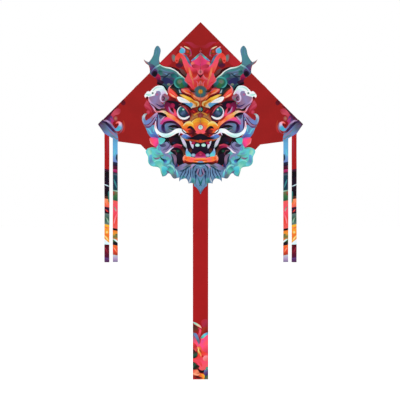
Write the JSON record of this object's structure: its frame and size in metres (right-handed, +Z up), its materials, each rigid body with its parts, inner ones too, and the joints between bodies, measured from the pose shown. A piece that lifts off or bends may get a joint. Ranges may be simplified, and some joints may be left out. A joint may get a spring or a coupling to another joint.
{
  "type": "dragon kite",
  "caption": "Delta kite with a printed dragon's head mask, folding rod frame, keel with tow eyelets, a long centre tail and wing-tip ribbons.",
  "frame": {"origin": "where the spine and the spreader cross, on the sail's plane at the centre fitting", "axes": "+Z up the spine towards the nose, -Y out of the printed side, +X to the viewer's right when facing the printed side"},
  "size_m": [1.2, 0.1849, 2.0935],
  "materials": {
    "sail_cloth": "deep red ripstop polyester, satin",
    "printed_mask": "ripstop polyester printed in many colours with a dragon's head",
    "tail_cloth": "deep red ripstop polyester, printed near its end",
    "ribbon_cloth": "ripstop polyester strips printed in bands",
    "sleeve_cloth": "dark red hem and sleeve tape",
    "webbing": "black woven webbing",
    "fibreglass_rod": "black pultruded fibreglass, semi gloss",
    "batten_strip": "black flat strip",
    "vinyl_cap": "soft black vinyl",
    "hose": "black flexible hose, satin",
    "moulded_fitting": "moulded black plastic, fine texture",
    "eyelet_brass": "pressed brass, polished"
  },
  "bodies": {
    "frame": {"spine_rod": "fibreglass_rod", "spine_cap_top": "vinyl_cap", "spine_cap_bottom": "vinyl_cap", "nose_pocket": "webbing", "tail_pocket": "webbing", "spine_sleeve_upper": "sleeve_cloth", "spine_sleeve_lower": "sleeve_cloth", "centre_fitting": "moulded_fitting", "sail_centre": "sail_cloth", "mask_centre": "printed_mask"},
    "wing_left": {"sail_left": "sail_cloth", "trailing_hem_left": "sleeve_cloth", "leading_edge_rod_left": "fibreglass_rod", "rod_cap_top_left": "vinyl_cap", "rod_cap_tip_left": "vinyl_cap", "tip_pocket_left": "webbing", "edge_sleeve_upper_left": "sleeve_cloth", "edge_sleeve_lower_left": "sleeve_cloth", "spreader_rod_left": "fibreglass_rod", "spreader_hose_left": "hose", "edge_fitting_left": "moulded_fitting", "mask_left": "printed_mask", "horn_batten_left": "batten_strip"},
    "wing_right": {"sail_right": "sail_cloth", "trailing_hem_right": "sleeve_cloth", "leading_edge_rod_right": "fibreglass_rod", "rod_cap_top_right": "vinyl_cap", "rod_cap_tip_right": "vinyl_cap", "tip_pocket_right": "webbing", "edge_sleeve_upper_right": "sleeve_cloth", "edge_sleeve_lower_right": "sleeve_cloth", "spreader_rod_right": "fibreglass_rod", "spreader_hose_right": "hose", "edge_fitting_right": "moulded_fitting", "mask_right": "printed_mask", "horn_batten_right": "batten_strip"},
    "keel": {"keel_cloth": "sail_cloth", "keel_edge_tape": "sleeve_cloth", "keel_patch": "webbing", "tow_eyelet_1": "eyelet_brass", "tow_eyelet_2": "eyelet_brass", "tow_eyelet_3": "eyelet_brass"},
    "beard": {"beard_flap": "printed_mask"},
    "upper_tail": {"tail_upper": "tail_cloth"},
    "middle_tail": {"tail_middle": "tail_cloth"},
    "lower_tail": {"tail_lower": "tail_cloth"},
    "outer_ribbon_upper_left": {"ribbon_outer_upper_left": "ribbon_cloth"},
    "outer_ribbon_lower_left": {"ribbon_outer_lower_left": "ribbon_cloth"},
    "inner_ribbon_upper_left": {"ribbon_inner_upper_left": "ribbon_cloth"},
    "inner_ribbon_lower_left": {"ribbon_inner_lower_left": "ribbon_cloth"},
    "outer_ribbon_upper_right": {"ribbon_outer_upper_right": "ribbon_cloth"},
    "outer_ribbon_lower_right": {"ribbon_outer_lower_right": "ribbon_cloth"},
    "inner_ribbon_upper_right": {"ribbon_inner_upper_right": "ribbon_cloth"},
    "inner_ribbon_lower_right": {"ribbon_inner_lower_right": "ribbon_cloth"}
  },
  "joints": [
    {"name": "wing_fold_left", "type": "hinge", "parent": "frame", "child": "wing_left", "pos_m": [-0.014, 0.01, 0], "axis": [0, 0, -1], "range_deg": [0, 80], "stiffness_Nm_per_rad": 0.15, "deforming": ["spreader_hose_left"]},
    {"name": "wing_fold_right", "type": "hinge", "parent": "frame", "child": "wing_right", "pos_m": [0.014, 0.01, 0], "axis": [0, 0, 1], "range_deg": [0, 80], "stiffness_Nm_per_rad": 0.15, "deforming": ["spreader_hose_right"]},
    {"name": "keel_swing", "type": "hinge", "parent": "frame", "child": "keel", "pos_m": [0, -0.0012, 0], "axis": [0, 0, 1], "range_deg": [-70, 70]},
    {"name": "beard_lift", "type": "hinge", "parent": "frame", "child": "beard", "pos_m": [0, -0.0014, -0.462], "axis": [-1, 0, 0], "range_deg": [0, 50]},
    {"name": "tail_upper_swing", "type": "hinge", "parent": "frame", "child": "upper_tail", "pos_m": [0, 0, -0.558], "axis": [-1, 0, 0], "range_deg": [-40, 0]},
    {"name": "tail_middle_swing", "type": "hinge", "parent": "upper_tail", "child": "middle_tail", "pos_m": [0, 0, -0.94333], "axis": [-1, 0, 0], "range_deg": [-40, 40]},
    {"name": "tail_lower_swing", "type": "hinge", "parent": "middle_tail", "child": "lower_tail", "pos_m": [0, 0, -1.32867], "axis": [-1, 0, 0], "range_deg": [-40, 40]},
    {"name": "outer_ribbon_swing_left", "type": "hinge", "parent": "wing_left", "child": "outer_ribbon_upper_left", "pos_m": [-0.548, 0, -0.28223], "axis": [-1, 0, 0], "range_deg": [-35, 35]},
    {"name": "outer_ribbon_curl_left", "type": "hinge", "parent": "outer_ribbon_upper_left", "child": "outer_ribbon_lower_left", "pos_m": [-0.548, 0, -0.65398], "axis": [-1, 0, 0], "range_deg": [-35, 35]},
    {"name": "inner_ribbon_swing_left", "type": "hinge", "parent": "wing_left", "child": "inner_ribbon_upper_left", "pos_m": [-0.499, 0, -0.31127], "axis": [-1, 0, 0], "range_deg": [-35, 35]},
    {"name": "inner_ribbon_curl_left", "type": "hinge", "parent": "inner_ribbon_upper_left", "child": "inner_ribbon_lower_left", "pos_m": [-0.499, 0, -0.66802], "axis": [-1, 0, 0], "range_deg": [-35, 35]},
    {"name": "outer_ribbon_swing_right", "type": "hinge", "parent": "wing_right", "child": "outer_ribbon_upper_right", "pos_m": [0.548, 0, -0.28223], "axis": [-1, 0, 0], "range_deg": [-35, 35]},
    {"name": "outer_ribbon_curl_right", "type": "hinge", "parent": "outer_ribbon_upper_right", "child": "outer_ribbon_lower_right", "pos_m": [0.548, 0, -0.65398], "axis": [-1, 0, 0], "range_deg": [-35, 35]},
    {"name": "inner_ribbon_swing_right", "type": "hinge", "parent": "wing_right", "child": "inner_ribbon_upper_right", "pos_m": [0.499, 0, -0.31127], "axis": [-1, 0, 0], "range_deg": [-35, 35]},
    {"name": "inner_ribbon_curl_right", "type": "hinge", "parent": "inner_ribbon_upper_right", "child": "inner_ribbon_lower_right", "pos_m": [0.499, 0, -0.66802], "axis": [-1, 0, 0], "range_deg": [-35, 35]}
  ]
}
